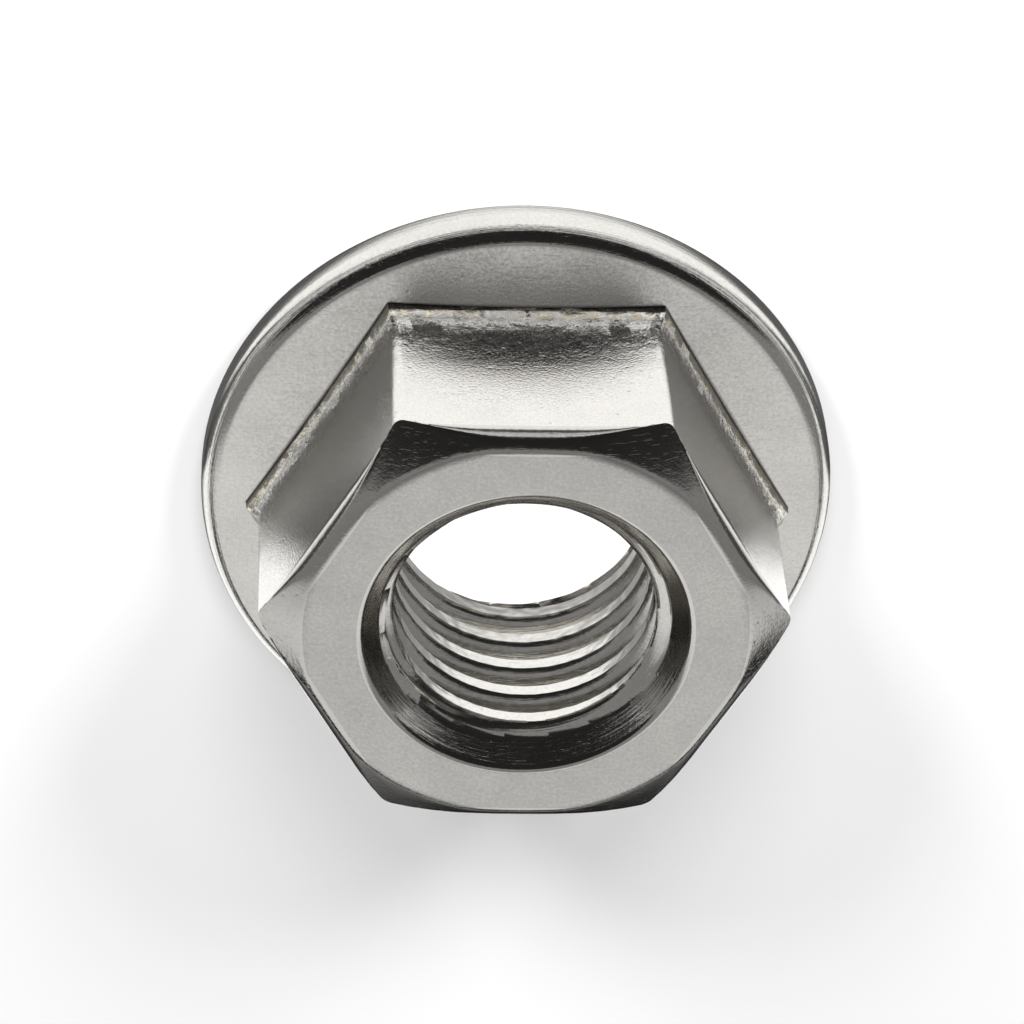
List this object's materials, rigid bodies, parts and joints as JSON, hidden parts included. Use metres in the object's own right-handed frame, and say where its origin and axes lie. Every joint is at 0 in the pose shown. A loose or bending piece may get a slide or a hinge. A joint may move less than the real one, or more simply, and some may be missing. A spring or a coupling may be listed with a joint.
{
  "type": "serrated flange nut",
  "caption": "Hexagonal steel nut with a threaded bore and a round integral flange whose bearing face has radial ratchet serrations.",
  "frame": {"origin": "centre of the bore's axis in the plane of the serrated bearing face", "axes": "+Z along the bore's axis, from the bearing face towards the hexagon's top face; flats face +Y and -Y, corners point along +X and -X"},
  "size_m": [0.021, 0.021, 0.0098],
  "materials": {
    "stainless_steel": "satin, as cold-formed and tumbled"
  },
  "bodies": {
    "root": {"flange_nut": "stainless_steel"}
  },
  "joints": []
}
